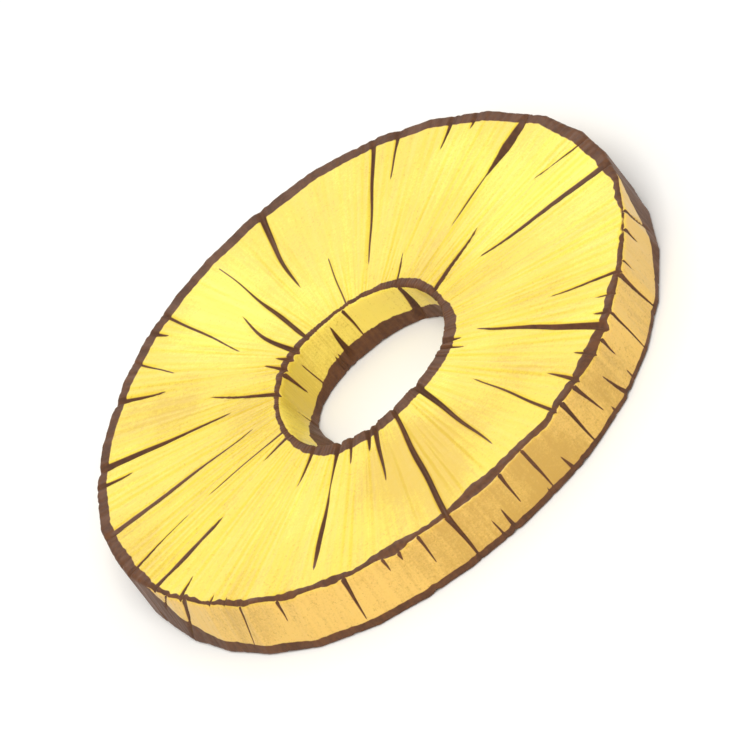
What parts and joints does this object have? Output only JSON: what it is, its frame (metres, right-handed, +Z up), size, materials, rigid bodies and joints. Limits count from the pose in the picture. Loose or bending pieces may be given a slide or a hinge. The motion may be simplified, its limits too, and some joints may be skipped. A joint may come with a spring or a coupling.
{
  "type": "pineapple ring",
  "caption": "Flat ring of fresh pineapple cut across the fruit, with a round core hole, split flesh and a faceted, trimmed outer edge.",
  "frame": {"origin": "centre of the flat underside that the ring lies on", "axes": "+Z straight up through the thickness of the ring, +X and +Y in the plane of the cut"},
  "size_m": [0.0906, 0.0904, 0.0092],
  "materials": {
    "flesh": "wet, slightly see-through yellow fruit flesh with pale fibres running out from the hole, deeper gold on the trimmed outer wall and browned along the rims and in the splits"
  },
  "bodies": {
    "root": {"ring": "flesh"}
  },
  "joints": []
}
